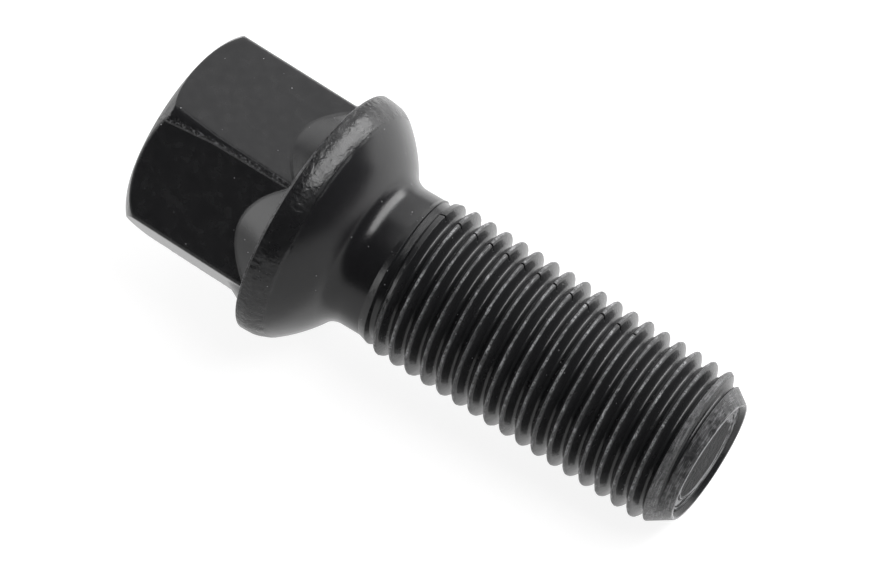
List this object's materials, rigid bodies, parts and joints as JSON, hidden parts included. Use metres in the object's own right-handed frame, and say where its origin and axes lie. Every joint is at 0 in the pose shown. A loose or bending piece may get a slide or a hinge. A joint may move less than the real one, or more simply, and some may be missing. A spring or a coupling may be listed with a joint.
{
  "type": "wheel bolt",
  "caption": "Wheel bolt in black-coated steel: a hexagonal head with a domed end, a round collar with a ball seat, a plain neck and a right-hand threaded shank with a chamfered tip.",
  "frame": {"origin": "centre of the head's end face, which the bolt stands on", "axes": "+Z along the bolt's axis, from the head towards the threaded tip; +X square to one flat of the hexagon; two corners of the hexagon lie on the Y axis"},
  "size_m": [0.0216, 0.0216, 0.0504],
  "materials": {
    "black_finish": "thin black coating between satin and gloss, over forged steel"
  },
  "bodies": {
    "root": {"wheel_bolt": "black_finish"}
  },
  "joints": []
}
